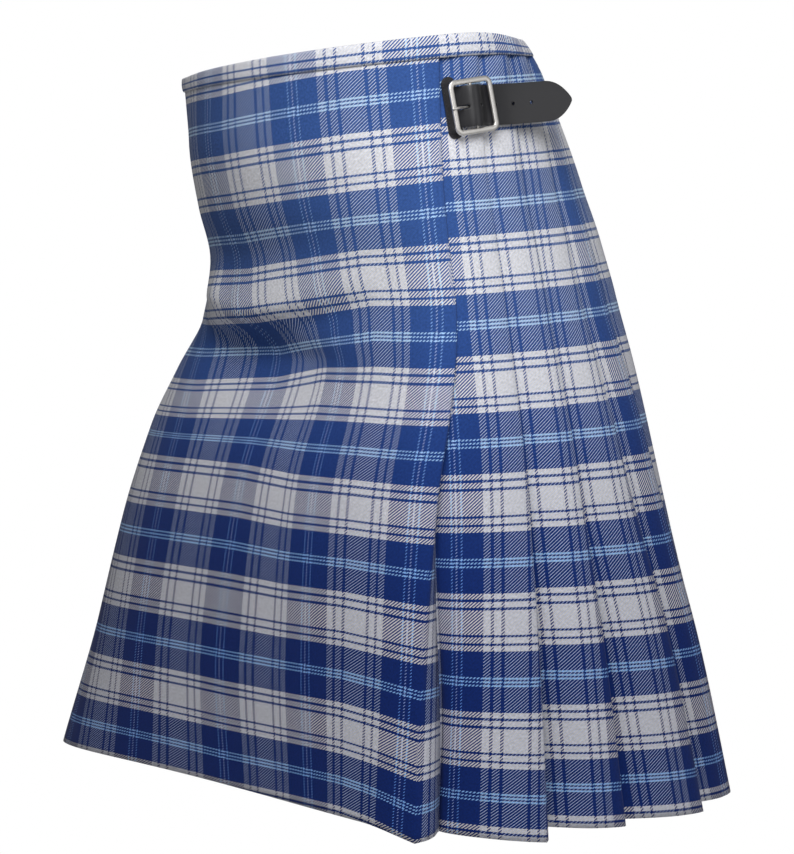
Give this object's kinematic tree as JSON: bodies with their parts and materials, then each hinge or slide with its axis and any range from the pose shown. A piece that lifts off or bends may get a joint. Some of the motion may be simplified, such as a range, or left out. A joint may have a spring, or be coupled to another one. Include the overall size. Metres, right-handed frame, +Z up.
{
  "type": "kilt",
  "caption": "Worn knee-length tartan kilt: flat front apron, knife pleats round the back, narrow waistband and leather hip straps with metal buckles.",
  "frame": {"origin": "middle of the waist opening, level with the top edge at the hips, where the wearer's waist holds it", "axes": "+Z up along the body, -Y towards the wearer's front, +X towards the wearer's left hip"},
  "size_m": [0.5049, 0.4805, 0.6199],
  "materials": {
    "tartan_wool": "matt wool twill in a blue and off-white check",
    "black_leather": "smooth near-black leather, low sheen",
    "brushed_nickel": "brushed silver-coloured metal"
  },
  "bodies": {
    "root": {"over_apron": "tartan_wool", "pleats": "tartan_wool", "under_apron": "tartan_wool", "waistband": "tartan_wool", "slot_patch": "black_leather", "strap_left": "black_leather", "strap_right": "black_leather", "buckle_tab_left": "black_leather", "buckle_tab_right": "black_leather", "buckle_frame_left": "brushed_nickel", "buckle_frame_right": "brushed_nickel", "prong_left": "brushed_nickel", "prong_right": "brushed_nickel"}
  },
  "joints": []
}
